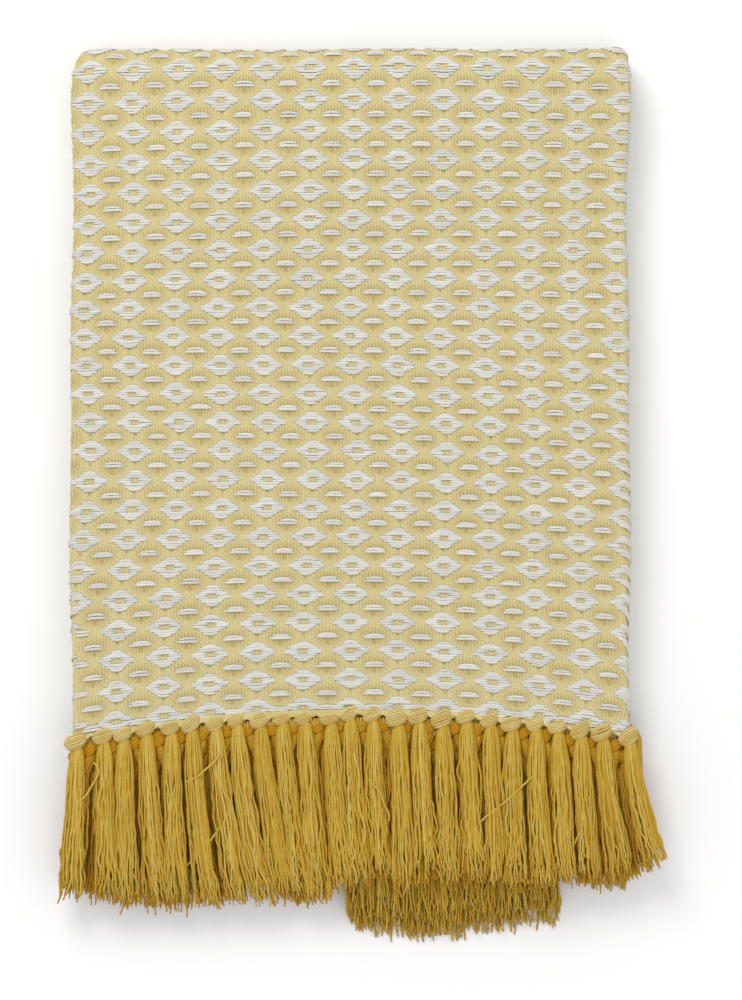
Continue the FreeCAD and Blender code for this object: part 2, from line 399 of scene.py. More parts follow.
class Yarns:
    """Closed tubes gathered for one mesh, each along a path of points."""

    def __init__(self):
        self.points, self.quads, self.caps, self.yarn, self.tone_and_painted_shade = [], [], [], [], []
        self.count = 0

    def add(self, paths, upward, half_width, half_height, sides, tone_and_painted_shade):
        """Adds tubes along paths of shape (tubes, steps, 3), with upward giving each tube's top side."""
        tubes, steps, _ = paths.shape
        forward = unit(np.gradient(paths, axis=1))
        sideways = unit(np.cross(forward, np.broadcast_to(upward, paths.shape)))
        top = np.cross(sideways, forward)
        angle = 2 * math.pi * (np.arange(sides) + 0.5) / sides
        ring = (
            sideways[:, :, None] * (np.cos(angle)[:, None] * half_width[:, :, None, None])
            + top[:, :, None] * (np.sin(angle)[:, None] * half_height[:, :, None, None])
        )
        points = paths[:, :, None] + ring
        index = np.arange(tubes * steps * sides).reshape(tubes, steps, sides) + self.count
        following = np.roll(index, -1, axis=2)
        quads = np.stack(
            [index[:, :-1], index[:, 1:], following[:, 1:], following[:, :-1]], axis=-1
        )
        step_length = np.linalg.norm(np.diff(paths, axis=1), axis=-1)
        run = np.concatenate([np.zeros((tubes, 1)), np.cumsum(step_length, axis=1)], axis=1)
        yarn = np.zeros(points.shape)
        yarn[..., 0] = run[:, :, None]
        yarn[..., 1] = np.cos(angle)
        yarn[..., 2] = np.sin(angle)
        self.points.append(points.reshape(-1, 3))
        self.quads.append(quads.reshape(-1, 4))
        self.caps.append(np.concatenate([index[:, 0], index[:, -1, ::-1]]))
        self.yarn.append(yarn.reshape(-1, 3))
        self.tone_and_painted_shade.append(np.broadcast_to(tone_and_painted_shade[:, None, None], points.shape[:3]).ravel())
        self.count += points.shape[0] * steps * sides

    def build(self, name):
        """The mesh object of everything added so far."""
        values = {"yarn": np.concatenate(self.yarn), "tone_and_painted_shade": np.concatenate(self.tone_and_painted_shade)}
        caps = np.concatenate(self.caps)
        return build_mesh(
            name, np.concatenate(self.points), np.concatenate(self.quads), caps, values
        )


# Materials


class Nodes:
    """A material's node tree, with short calls for its usual nodes."""

    def __init__(self, name):
        self.material = bpy.data.materials.new(name)
        self.material.use_nodes = True
        self.tree = self.material.node_tree
        self.shader = self.tree.nodes["Principled BSDF"]

    def add(self, kind, inputs=None, **settings):
        node = self.tree.nodes.new(kind)
        for key, value in settings.items():
            setattr(node, key, value)
        for key, value in (inputs or {}).items():
            self.feed(node.inputs[key], value)
        return node

    def feed(self, socket, value):
        if isinstance(value, bpy.types.NodeSocket):
            self.tree.links.new(value, socket)
        else:
            socket.default_value = value

    def sum(self, operation, *values):
        node = self.tree.nodes.new("ShaderNodeMath")
        node.operation = operation
        for socket, value in zip(node.inputs, values):
            self.feed(socket, value)
        return node.outputs[0]

    def attribute(self, name, output="Fac"):
        return self.add("ShaderNodeAttribute", attribute_name=name).outputs[output]

    def split(self, vector):
        node = self.add("ShaderNodeSeparateXYZ", {0: vector})
        return node.outputs

    def noise(self, scale, detail=2.0, vector=None):
        node = self.add("ShaderNodeTexNoise", {"Scale": scale, "Detail": detail})
        if vector is None:
            vector = self.add("ShaderNodeTexCoord").outputs["Object"]
        self.feed(node.inputs["Vector"], vector)
        return node.outputs["Fac"]

    def ramp(self, value, stops):
        node = self.tree.nodes.new("ShaderNodeValToRGB")
        while len(node.color_ramp.elements) < len(stops):
            node.color_ramp.elements.new(0.5)
        for element, (place, colour) in zip(node.color_ramp.elements, stops):
            element.position = place
            element.color = (*colour, 1.0)
        self.feed(node.inputs[0], value)
        return node.outputs["Color"]

    def mix(self, share, first, second):
        node = self.tree.nodes.new("ShaderNodeMix")
        node.data_type = "RGBA"
        self.feed(node.inputs[0], share)
        self.feed(node.inputs[6], first)
        self.feed(node.inputs[7], second)
        return node.outputs[2]

    def bump(self, height, strength, distance):
        inputs = {"Height": height, "Strength": strength, "Distance": distance}
        node = self.add("ShaderNodeBump", inputs)
        self.feed(self.shader.inputs["Normal"], node.outputs["Normal"])

    def cotton(self, colour, roughness, sheen):
        """Sets up the shader as unbleached or dyed cotton: rough, with a soft sheen and no gloss."""
        self.feed(self.shader.inputs["Base Color"], colour)
        self.feed(self.shader.inputs["Roughness"], roughness)
        self.shader.inputs["Specular IOR Level"].default_value = 0.1
        self.shader.inputs["Sheen Weight"].default_value = sheen
        self.shader.inputs["Sheen Roughness"].default_value = 0.6
        self.shader.inputs["Sheen Tint"].default_value = (1.0, 0.97, 0.9, 1.0)


def yarn_material(name, stops, twist_pitch, sheen, painted_side_shade):
    """Two-ply cotton yarn: twisted plies, fine fibres, varied colour, and painted shade that darkens each
    yarn's sides and underside between yarns.
    """
    n = Nodes(name)
    run, cosine, sine = n.split(n.attribute("yarn", "Vector"))[:3]
    around = n.sum("ARCTAN2", sine, cosine)
    phase = n.sum("MULTIPLY_ADD", run, 2 * math.pi / twist_pitch, around)
    twist = n.sum("SINE", n.sum("MULTIPLY", phase, 2.0))
    blotch = n.noise(260.0, 3.0)
    fibre = n.noise(2600.0, 2.0)
    tone_and_painted_shade = n.attribute("tone_and_painted_shade")
    shade = n.sum("MULTIPLY_ADD", tone_and_painted_shade, 0.55, n.sum("MULTIPLY", blotch, 0.45))
    shade = n.sum("MULTIPLY_ADD", twist, 0.05, shade)
    shade = n.sum("MULTIPLY_ADD", n.sum("SUBTRACT", fibre, 0.5), 0.22, shade)
    # Painted shade: each yarn is darker on its sides and underside, where its neighbours would shade it,
    # and lightest on top.
    side = n.sum("SUBTRACT", 1.0, n.sum("MAXIMUM", sine, 0.0))
    shade = n.sum("MULTIPLY_ADD", n.sum("POWER", side, 2.0), -painted_side_shade, shade)
    roughness = n.sum("MULTIPLY_ADD", fibre, 0.16, 0.78)
    n.cotton(n.ramp(shade, stops), roughness, sheen)
    height = n.sum("MULTIPLY_ADD", twist, 0.6, fibre)
    n.bump(height, 0.55, 0.16 * MM)
    return n.material


def ground_material(name, stops, painted_hollow_shade):
    """The yellow warp between the floats, with painted shade that darkens it in the grooves between its
    ridges.
    """
    n = Nodes(name)
    place = n.attribute("weave", "Vector")
    column, row = n.split(place)[:2]
    blotch = n.noise(170.0, 3.0)
    fibre = n.noise(2300.0, 2.0)
    drawn_out = n.add("ShaderNodeVectorMath", {0: place, 1: (14.0, 1.5, 1.0)}, operation="MULTIPLY")
    streak = n.noise(1.0, 2.0, drawn_out.outputs[0])
    shade = n.sum("MULTIPLY_ADD", blotch, 0.35, n.sum("MULTIPLY", streak, 0.4))
    shade = n.sum("MULTIPLY_ADD", n.sum("SUBTRACT", fibre, 0.5), 0.3, shade)
    shade = n.sum("ADD", shade, 0.12)
    # Painted shade: the warp colour is mixed toward brown where the per-point shade attribute is high.
    colour = n.mix(n.attribute("painted_hollow_shade"), n.ramp(shade, stops), (*painted_hollow_shade, 1.0))
    roughness = n.sum("MULTIPLY_ADD", fibre, 0.14, 0.8)
    n.cotton(colour, roughness, 0.12)
    lines = n.sum("SINE", n.sum("MULTIPLY", column, 2 * math.pi * RIDGES * 2))
    picks = n.sum("SINE", n.sum("MULTIPLY", row, 2 * math.pi * PICKS))
    height = n.sum("MULTIPLY_ADD", lines, 0.25, n.sum("MULTIPLY_ADD", picks, 0.3, fibre))
    n.bump(height, 0.5, 0.18 * MM)
    return n.material


def cloth_material(name, stops, white):
    """The same weave drawn on the base sheet, for the plies and the underside."""
    n = Nodes(name)
    column, row = n.split(n.attribute("weave", "Vector"))[:2]

    def offset(value, shift, size):
        shifted = n.sum("FRACT", n.sum("ADD", value, shift))
        return n.sum("MULTIPLY", n.sum("ABSOLUTE", n.sum("SUBTRACT", shifted, 0.5)), size / MM)

    x, y = offset(column, 0.5, REPEAT_X), offset(row, 0.5, REPEAT_Y)
    half_x, half_y = offset(column, 0.0, REPEAT_X), offset(row, 0.0, REPEAT_Y)

    def inside(x, y, wide, tall, power):
        reach = n.sum("ADD", n.sum("POWER", n.sum("DIVIDE", x, wide), power),
                      n.sum("POWER", n.sum("DIVIDE", y, tall), power))
        return n.sum("MULTIPLY", n.sum("SUBTRACT", 1.0, reach), 3.0)

    diamond = inside(x, y, 10.6, 6.3, 1.15)
    eye = inside(x, y, 2.3, 1.6, 2.0)
    dash = inside(half_x, half_y, 5.8, 1.8, 2.0)
    mask = n.sum("MAXIMUM", n.sum("MINIMUM", diamond, n.sum("MULTIPLY", eye, -1.0)), dash)
    mask = n.add("ShaderNodeClamp", {"Value": mask}).outputs[0]
    mask = n.sum("MULTIPLY", mask, n.attribute("figured"))
    picks = n.sum("SINE", n.sum("MULTIPLY", row, 2 * math.pi * PICKS))
    ridges = n.sum("SINE", n.sum("MULTIPLY", column, 2 * math.pi * RIDGES))
    fibre = n.noise(2300.0, 2.0)
    blotch = n.noise(170.0, 3.0)
    yellow = n.ramp(n.sum("MULTIPLY_ADD", ridges, 0.18, n.sum("MULTIPLY_ADD", blotch, 0.6, 0.2)), stops)
    pale = n.ramp(n.sum("MULTIPLY_ADD", picks, 0.3, n.sum("MULTIPLY_ADD", blotch, 0.4, 0.3)),
                  [(0.1, tuple(0.72 * c for c in white)), (0.6, white)])
    colour = n.mix(n.attribute("by_hem"), n.mix(mask, yellow, pale), (*HEM_SHADE, 1.0))
    n.cotton(colour, n.sum("MULTIPLY_ADD", fibre, 0.14, 0.8), 0.12)
    relief = n.mix(mask, ridges, n.sum("MULTIPLY_ADD", picks, 1.0, 1.6))
    height = n.sum("MULTIPLY_ADD", fibre, 0.25, relief)
    n.bump(height, 0.8, 0.3 * MM)
    return n.material


WHITE = (0.60, 0.585, 0.53)
YELLOW_STOPS = [(0.0, (0.52, 0.44, 0.20)), (0.45, (0.62, 0.545, 0.285)), (1.0, (0.70, 0.645, 0.40))]
WHITE_STOPS = [(0.1, (0.53, 0.515, 0.465)), (0.5, WHITE), (0.9, (0.67, 0.66, 0.61))]
# The first stop is the orange-brown that the fringe's painted shade runs to.
MUSTARD_STOPS = [(0.0, (0.46, 0.212, 0.003)), (0.5, (0.50, 0.335, 0.046)), (0.95, (0.61, 0.465, 0.135))]
# Painted light: the front row's knots get paler stops than the fringe yarn they are tied from, standing in
# for light from above.
LIT_KNOT_STOPS = [(0.0, (0.45, 0.29, 0.07)), (0.5, (0.59, 0.48, 0.20)), (1.0, (0.67, 0.59, 0.32))]
# The brown that the warp is mixed toward as painted shade in its hollows.
PAINTED_SHADE_BROWN = (0.415, 0.315, 0.12)
HEM_SHADE = (0.50, 0.30, 0.05)
white_yarn = yarn_material("white_weft", WHITE_STOPS, 3.0 * MM, 0.1, 0.25)
mustard_yarn = yarn_material("mustard_fringe", MUSTARD_STOPS, 2.6 * MM, 0.02, 0.55)
lit_knot_yarn = yarn_material("mustard_knots_painted_light", LIT_KNOT_STOPS, 2.6 * MM, 0.05, 0.5)
warp_ground = ground_material("yellow_warp", YELLOW_STOPS, PAINTED_SHADE_BROWN)
woven_cloth = cloth_material("woven_cloth", YELLOW_STOPS, WHITE)


# The cloth


def marks_with_bends(marks, flat_step, bend_steps):
    """Sample places along a run of straight and turned stretches, closer together in the turns."""
    places = [np.zeros(1)]
    for index, (start, end) in enumerate(zip(marks[:-1], marks[1:])):
        steps = bend_steps if index % 2 else max(2, round((end - start) / flat_step))
        places.append(start + (end - start) * np.arange(1, steps + 1) / steps)
    return np.concatenate(places)


def grid_quads(rows, columns):
    """The faces of a grid of points, row by row."""
    index = np.arange(rows * columns).reshape(rows, columns)
    quads = np.stack([index[:-1, :-1], index[:-1, 1:], index[1:, 1:], index[1:, :-1]], axis=-1)
    return quads.reshape(-1, 4)


def make_cloth():
    """The whole cloth as one sheet, folded into sixteen plies."""
    u = marks_with_bends(U_MARKS, 8.5 * MM, 8)
    v = marks_with_bends(V_MARKS, 8.5 * MM, 12)
    grid_u, grid_v = np.meshgrid(u, v)
    points, _ = surface(grid_u, grid_v, np.zeros_like(grid_u))
    weave = np.stack([grid_u / REPEAT_X, grid_v / REPEAT_Y, 0 * grid_u], axis=-1)
    from_hem = np.minimum(grid_v, V_MARKS[-1] - grid_v)
    values = {
        "weave": weave.reshape(-1, 3),
        "figured": smooth(from_hem, 18 * MM, 24 * MM).ravel(),
        "by_hem": 1 - smooth(from_hem, 0, 8 * MM).ravel(),
    }
    quads = grid_quads(len(v), len(u))
    piece = build_mesh("folded_cloth", points.reshape(-1, 3), quads, values=values)
    thickness = piece.modifiers.new("thickness", "SOLIDIFY")
    thickness.thickness = BASE_THICKNESS
    thickness.offset = 0.0
    return piece


def ground_patch(name, place, columns, rows, limits, relief=1.0):
    """The ridged warp of one stretch of cloth: one ridge to a warp end, and one row of points to a pick."""
    low, high, start, end = limits
    per_ridge = 3
    column = np.arange(columns[0] * RIDGES * per_ridge, columns[1] * RIDGES * per_ridge + 1)
    row = np.arange(rows[0] * PICKS, rows[1] * PICKS + 1)
    grid_c, grid_r = np.meshgrid(column / (RIDGES * per_ridge), row / PICKS)
    wander = 0.010 * np.sin(grid_r * 3.1 + grid_c * 5) + 0.006 * np.sin(grid_r * 11 + grid_c * 23)
    below_dash = np.exp(-((((grid_r - 0.74) % 1 + 0.5) % 1 - 0.5) / 0.13) ** 2)
    wander += 0.04 * np.sin(2 * math.pi * grid_c) * (below_dash + 0.3 * np.cos(2 * math.pi * grid_r))
    u, v = place(grid_c + wander, grid_r)
    ridge_index = np.floor(column / per_ridge + 0.5)
    phase = column / per_ridge - ridge_index
    crest = np.cos(2 * math.pi * phase)[None, :] * 0.5 + 0.5
    bead = ((row[:, None] + ridge_index[None, :]) % 2) * 0.45
    uneven = RANDOM.uniform(-0.14, 0.14, grid_c.shape)
    depth = crest * (1 - bead) + uneven
    pit = hole_share(grid_c, grid_r)
    lift = relief * (GROUND_LIFT + RIDGE_HEIGHT * (depth - 0.5) - 0.5 * MM * pit)
    lift = np.maximum(lift, BASE_THICKNESS / 2 + 0.08 * MM)
    outside_u = (u < low) | (u > high)
    outside_v = (v < start) | (v > end)
    points, _ = surface(np.clip(u, low, high), np.clip(v, start, end), lift)
    quads = grid_quads(*grid_c.shape)
    out_u = outside_u.ravel()[quads].all(axis=1)
    out_v = outside_v.ravel()[quads].all(axis=1)
    kept = quads[~(out_u | out_v)]
    used, renumbered = np.unique(kept, return_inverse=True)
    from_dash_x = nearest(grid_c - 0.5) * REPEAT_X / (7.5 * MM)
    from_dash_y = nearest(grid_r - 0.5) * REPEAT_Y / (4.8 * MM)
    around_dash = np.exp(-(from_dash_x**4) - from_dash_y**4) * (1.1 - 0.5 * crest)
    # Painted shade: darker in the grooves between ridges, on the sunken beads, around each dash and in the
    # small holes between warp ends.
    painted_hollow_shade = np.clip(0.6 * (1 - crest) ** 1.5 + 0.25 * (bead > 0) + 0.55 * around_dash - 0.12 + pit, 0, 1)
    weave = np.stack([grid_c, grid_r, 0 * grid_c], axis=-1).reshape(-1, 3)[used]
    values = {"weave": weave, "painted_hollow_shade": painted_hollow_shade.ravel()[used]}
    return build_mesh(name, points.reshape(-1, 3)[used], renumbered.reshape(-1, 4), values=values)


def nearest(repeats):
    """How far a count of repeats is from the nearest whole one."""
    return repeats - np.round(repeats)


def hole_share(column, row):
    """Small gaps between warp ends, under each dash and under each diamond."""
    def near(x, y, wide, tall):
        across_it = nearest(x) * REPEAT_X / wide
        along_it = nearest(y) * REPEAT_Y / tall
        return np.exp(-(across_it**2) - along_it**2)
    under_dash = near(column - 0.5, row - 0.71, 1.0 * MM, 0.9 * MM)
    under_diamond = near(column, row - 0.42, 0.9 * MM, 0.6 * MM)
    under_diamond += near(column, row - 0.53, 0.6 * MM, 0.6 * MM)
    return np.clip(under_dash + 0.8 * under_diamond, 0, 1)


def float_plan():
    """One repeat's floats: pick, left and right end and reach in mm, bow, and shift in repeats."""
    plan = []
    for pick, reach, bow in ((0.5, 10.2, 0.3), (1.42, 8.6, 0.7), (2.4, 6.6, 0.9), (3.4, 4.1, 1.0)):
        for way in (-1, 1):
            if pick < 1:
                plan.append((way * pick, -reach, -1.7, reach, bow * way, 0.0))
                plan.append((way * pick, 1.7, reach, reach, bow * way, 0.0))
            else:
                plan.append((way * pick, -reach, reach, reach, bow * way, 0.0))
    plan.append((-0.52, -5.3, 5.3, 5.3, -0.85, 0.5))
    plan.append((0.46, -6.1, 6.1, 6.1, -0.3, 0.5))
    return np.array(plan)


def float_yarns(yarns, place, cells, limits, steps=9, sides=8, relief=1.0):
    """White weft floats for the given repeats. Each rises out of the warp, lies on it and goes back in."""
    low, high, start, end = limits
    plan = float_plan()
    cell_jitter = RANDOM.normal(0, 0.22 * MM, (len(cells), 2))
    pick, left, right, reach, way, half = (plan[:, i][None, :] for i in range(6))
    count = (len(cells), len(plan))
    column = cells[:, :1] + half + cell_jitter[:, :1] / REPEAT_X
    row = cells[:, 1:] + half + (pick / PICKS) + cell_jitter[:, 1:] / REPEAT_Y
    row = row + RANDOM.normal(0, 0.09 * MM, count) / REPEAT_Y
    left = left + RANDOM.normal(0, 0.35, count)
    right = right + RANDOM.normal(0, 0.35, count)
    if place is plain_place:
        left = np.maximum(left, (low - column * REPEAT_X) / MM)
        right = np.minimum(right, (high - column * REPEAT_X) / MM)
    share = np.linspace(0, 1, steps)
    flat = 1 - np.abs(2 * share - 1) ** 5
    tilt = RANDOM.normal(0, 0.12 * MM, count)
    across_it = left[..., None] + (right - left)[..., None] * share
    bow = FLOAT_BOW * way[..., None] * (0.45 - (across_it / reach[..., None]) ** 2)
    c = column[..., None] + across_it * MM / REPEAT_X
    r = row[..., None] + (bow + tilt[..., None] * (share - 0.5)) / REPEAT_Y
    c, r = c.reshape(-1, steps), r.reshape(-1, steps)
    length = np.broadcast_to(right - left, count).ravel()
    u, v = place(c, r)
    inside = ((u >= low) & (u <= high) & (v > start) & (v < end)).mean(axis=1) > 0.6
    inside &= length > 2.0
    c, r, u, v, length = c[inside], r[inside], u[inside], v[inside], length[inside]
    sunk = 0.45 * MM
    rise = FLOAT_LIFT + RANDOM.normal(0, 0.06 * MM, len(u)) + 0.008 * MM * length
    lift = relief * (sunk + (rise[:, None] - sunk) * flat)
    paths, upward = surface(np.clip(u, low, high), np.clip(v, start, end), lift)
    thick = RANDOM.uniform(0.92, 1.1, len(u))[:, None]
    half_width = FLOAT_HALF_WIDTH * thick * (0.42 + 0.58 * flat)
    half_height = FLOAT_HALF_HEIGHT * thick * (0.5 + 0.5 * flat)
    yarns.add(paths, upward, half_width, half_height, sides, RANDOM.uniform(0, 1, len(u)))


def cell_list(columns, rows):
    """Every repeat in a block, by its diamond's column and row."""
    grid = np.meshgrid(np.arange(*columns), np.arange(*rows))
    return np.stack([g.ravel() for g in grid], axis=-1).astype(float)


def make_weave():
    """The warp ground and the white floats on every side of the stack that shows."""
    pieces = []
    past_bend = V_MARKS[2] + 4 * MM
    left_end, right_end = U_MARKS[1] - 1 * MM, U_MARKS[4] + 1 * MM
    face = (left_end, right_end, 0.0, past_bend)
    for name, rows in (("upper", (-5, 9)), ("lower", (9, 24))):
        patch = ground_patch(f"warp_face_{name}", face_place, (-COLUMNS, COLUMNS), rows, face)
        pieces.append(finish_piece(patch, warp_ground))
    for name, rows in (("upper", (-5, 6)), ("middle", (6, 15)), ("lower", (15, 25))):
        yarns = Yarns()
        float_yarns(yarns, face_place, cell_list((-COLUMNS, COLUMNS + 1), rows), face)
        pieces.append(finish_piece(yarns.build(f"weft_floats_{name}"), white_yarn))
    last_pick = Yarns()
    hem_cells = cell_list((-COLUMNS, COLUMNS), (-1, 0)) + np.array([0, 0.5])
    float_yarns(last_pick, hem_place, hem_cells, (left_end, right_end, -3 * MM, 5 * MM), relief=1.3)
    pieces.append(finish_piece(last_pick.build("weft_floats_hem"), white_yarn))
    margin = 1.5 * MM
    edges = (
        ("right", U_MARKS[3], U_MARKS[4], V_MARKS[2] - 2 * MM),
        ("left_outer", U_MARKS[1], U_MARKS[2], V_MARKS[2] - 2 * MM),
        ("left_inner", U_MARKS[5], U_MARKS[6], 0.0),
    )
    side_floats = Yarns()
    for name, low, high, start in edges:
        limits = (low - margin, high + margin, start, V_MARKS[-1])
        first = math.floor(limits[0] / REPEAT_X * RIDGES) / RIDGES
        columns = (first, math.ceil(limits[1] / REPEAT_X * RIDGES) / RIDGES)
        rows = (math.floor(start / REPEAT_Y), math.ceil(V_MARKS[-1] / REPEAT_Y))
        patch = ground_patch(f"warp_edge_{name}", plain_place, columns, rows, limits, 0.75)
        pieces.append(finish_piece(patch, warp_ground))
        near = (math.floor(columns[0] - 1), math.ceil(columns[1] + 2))
        float_yarns(side_floats, plain_place, cell_list(near, rows), limits, 7, 6, 0.75)
    pieces.append(finish_piece(side_floats.build("weft_floats_sides"), white_yarn))
    return pieces


# The fringe


def row_places(row):
    """Where a fringe row's knots lie, from its CAD node, each a little out of line."""
    low, high = ROW_BOXES[row]
    count = round((high[0] - low[0]) / KNOT_PITCH)
    x = MID_X + KNOT_PITCH * (np.arange(count) - (count - 1) / 2)
    x = x + RANDOM.normal(0, 0.8 * MM, count)
    y = hem_y(x, row) - KNOT_HALF_HEIGHT + RANDOM.normal(0, 0.4 * MM, count)
    z = np.full(count, (low[2] + high[2]) / 2)
    return np.stack([x, y, z], axis=-1)


def by_place(table, x):
    """A value that is given in millimetres for places across the throw, at x."""
    places, values = np.array(table).T * MM
    return np.interp(x - MID_X, places, values)


def straight_length(x, row):
    """The straight length of a tassel. The back half's are mostly bent, but not right of the middle."""
    if row < ROWS / 2:
        return by_place(FRONT_LENGTHS, x) - ROW_TAKE_UP * row
    if x < BACK_START or x > BACK_END:
        return BACK_LENGTH - BACK_TAKE_UP
    return BACK_LENGTH - BACK_RISE * (x - BACK_CROWN) ** 2


def knot_yarns(yarns, centre, size, tones_with_painted_light, bands, steps, sides):
    """One overhand knot: bands of yarn that go over it on a slant and turn in under it at both ends."""
    half_wide, half_tall, half_deep = size
    slant = math.radians(RANDOM.normal(14, 6))
    axis = np.array([-math.sin(slant), math.cos(slant), 0.0])
    cross = np.array([math.cos(slant), math.sin(slant), 0.0])
    level = np.linspace(-1, 1, bands) + RANDOM.normal(0, 0.03, bands)
    bulge = np.sqrt(1 - (0.62 * level) ** 2)
    angle = np.linspace(-0.2 * math.pi, 1.2 * math.pi, steps)
    wide = (half_wide - KNOT_YARN) * bulge
    deep = (half_deep - KNOT_YARN) * bulge
    pinch = 1 - 0.28 * np.cos(angle) ** 2
    wobble = RANDOM.normal(0, 0.08 * MM, (bands, steps))
    rise = level[:, None] * (half_tall - KNOT_YARN) * pinch + 0.7 * MM * np.cos(angle) + wobble
    paths = (
        centre
        + axis * rise[..., None]
        + cross * (wide[:, None] * np.cos(angle))[..., None]
        + UP * (deep[:, None] * np.sin(angle))[..., None]
    )
    halves = np.full((bands, steps), KNOT_YARN)
    yarns.add(paths, axis, halves, halves * 1.05, sides, RANDOM.uniform(*tones_with_painted_light, bands))


def hem_yarns(yarns, centre, row, strands, sides):
    """The warp ends that gather from the hem into one knot."""
    steps = 7
    share = np.linspace(0, 1, steps)
    start = centre[0] + 1.25 * KNOT_PITCH * (np.arange(strands) / (strands - 1) - 0.5)
    start = MID_X + np.clip(start - MID_X, 3 * MM - HALF_WIDTH, HALF_WIDTH - 3 * MM)
    above = hem_y(start, row) + 1.0 * MM
    ply_z = STACK_TOP - PLY_PITCH * row - PLY_SOLID / 2 + 0.1 * MM
    paths = np.empty((strands, steps, 3))
    paths[..., 0] = start[:, None] + (centre[0] - start[:, None]) * 0.7 * share**2.5
    paths[..., 1] = above[:, None] + (centre[1] - above[:, None]) * share
    paths[..., 2] = ply_z + (centre[2] - ply_z) * share + 0.5 * MM * np.sin(math.pi * share)
    half = np.full((strands, steps), HEM_YARN)
    yarns.add(paths, UP, half, half, sides, RANDOM.uniform(0.3, 0.8, strands))


def fall(x, y, z, row):
    """The height of a row of tassels: fanned out over the rows below, and sunk where those are missing."""
    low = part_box("front_tassel_13" if row == 0 else f"tassels_row_{row + 1}")[0]
    propped = smooth(x, BACK_START - BLOCK_EDGE, BACK_START)
    propped *= 1 - smooth(x, BACK_END, BACK_END + BLOCK_EDGE)
    beyond = hem_y(x, ROWS - 1) - 2 * KNOT_HALF_HEIGHT - y
    past = np.clip(beyond / (FAN_LENGTH * (1 - 0.35 * (1 - propped))), 0, 1)
    unpropped = np.clip(beyond / DROOP_START - 1, 0, 1) * (1 - propped) * (row < ROWS / 2)
    fanned = z + (low[2] + 1.5 * MM - z) * np.sin(math.pi / 2 * past)
    return fanned - 3 * MM * past**3 - DROOP * unpropped**2


def tassel_yarns(yarns, knot, row, slip, strands, steps, sides):
    """One tassel: yarns that leave the knot in a tight neck, swell to a soft bundle and end unevenly."""
    x, y, z = knot
    length = straight_length(x, row) + RANDOM.normal(0, 1.6 * MM)
    lean = by_place(FRONT_LEANS, x) * (1 if row < ROWS / 2 else 0.4) + RANDOM.normal(0, 1.8 * MM)
    count = strands + CORE_YARNS
    own = length + RANDOM.normal(0, 2.2 * MM, count)
    own[:CORE_YARNS] = length - 8 * MM
    share = np.linspace(0, 1, steps)
    run = own[:, None] * share
    outer = round(strands * 0.65)
    angle = np.linspace(-0.08, 1.08, outer) * math.pi + RANDOM.normal(0, 0.05, outer)
    inner = RANDOM.uniform(0, 1, strands - outer) * math.pi
    angle = np.concatenate([np.linspace(0.1, 0.9, CORE_YARNS) * math.pi, angle, inner])
    outer_reach = RANDOM.uniform(0.94, 1.04, outer)
    inner_reach = RANDOM.uniform(0.3, 0.85, strands - outer)
    reach = np.concatenate([np.full(CORE_YARNS, 0.6), outer_reach, inner_reach])[:, None]
    swell = 1 - np.exp(-run / (9 * MM))
    open_end = (run / BACK_LENGTH) ** 3
    half_width = 1.9 * MM + 2.9 * MM * swell + 1.4 * MM * open_end
    half_depth = 1.4 * MM + 1.8 * MM * swell - 1.2 * MM * open_end
    waves = RANDOM.normal(0, 1, (4, count, 1)) * WAVE_SIZES[:, None, None]
    phases = RANDOM.uniform(0, 2 * math.pi, (4, count, 1))
    periods = WAVE_LENGTHS[:, None, None] * RANDOM.uniform(0.8, 1.25, (4, count, 1))
    waves = waves * (1 + 0.9 * share**4)
    swing = (waves * np.sin(2 * math.pi * run / periods + phases)).sum(axis=0)
    lift = (waves * np.cos(2 * math.pi * run / periods + 2 * phases)).sum(axis=0)
    loose = np.clip(run / (30 * MM), 0, 1)
    drift = RANDOM.normal(0, 0.8 * MM, (count, 1)) * (run / BACK_LENGTH) ** 2
    sway = RANDOM.normal(0, 1.0 * MM) * np.sin(math.pi * share * RANDOM.uniform(0.8, 1.8))
    paths = np.empty((count, steps, 3))
    slide = slip * smooth(run, 0, 16 * MM)
    paths[..., 0] = x + 1.0 * MM + slide + lean * share**1.5 + sway * share + drift + swing * loose
    paths[..., 0] += reach * half_width * np.cos(angle)[:, None]
    paths[..., 1] = y - 1.5 * MM - run
    recess = 0.4 * MM if row == 0 else 1.6 * MM
    paths[..., 2] = fall(x, paths[..., 1], z - recess, row)
    paths[..., 2] += reach * half_depth * np.sin(angle)[:, None] + 0.5 * lift * loose
    paths[..., 2] = np.maximum(paths[..., 2], 0.9 * MM)
    half = TASSEL_YARN * RANDOM.uniform(0.88, 1.15, (count, 1)) * (1 - 0.35 * share**12)
    half[:CORE_YARNS] *= 1.6
    # Painted light and shade: the front row's tassels take a higher tone and the three rows under them a
    # far lower one. In each tassel the core yarns and the yarns on its sides are darker, standing in for
    # the shade inside the bundle and in the gaps between tassels.
    pale = 0.62 if row == 0 else 0.08 if row < ROWS / 2 else 0.5
    tone_and_painted_shade = np.clip(RANDOM.normal(pale, 0.2, count), 0, 1)
    facing_up = np.sin(np.clip(angle[CORE_YARNS:], 0, math.pi))
    tone_and_painted_shade[:CORE_YARNS] *= 0.3
    tone_and_painted_shade[CORE_YARNS:] *= 0.35 + 0.65 * facing_up**0.7
    yarns.add(paths, UP, half, half, sides, tone_and_painted_shade)


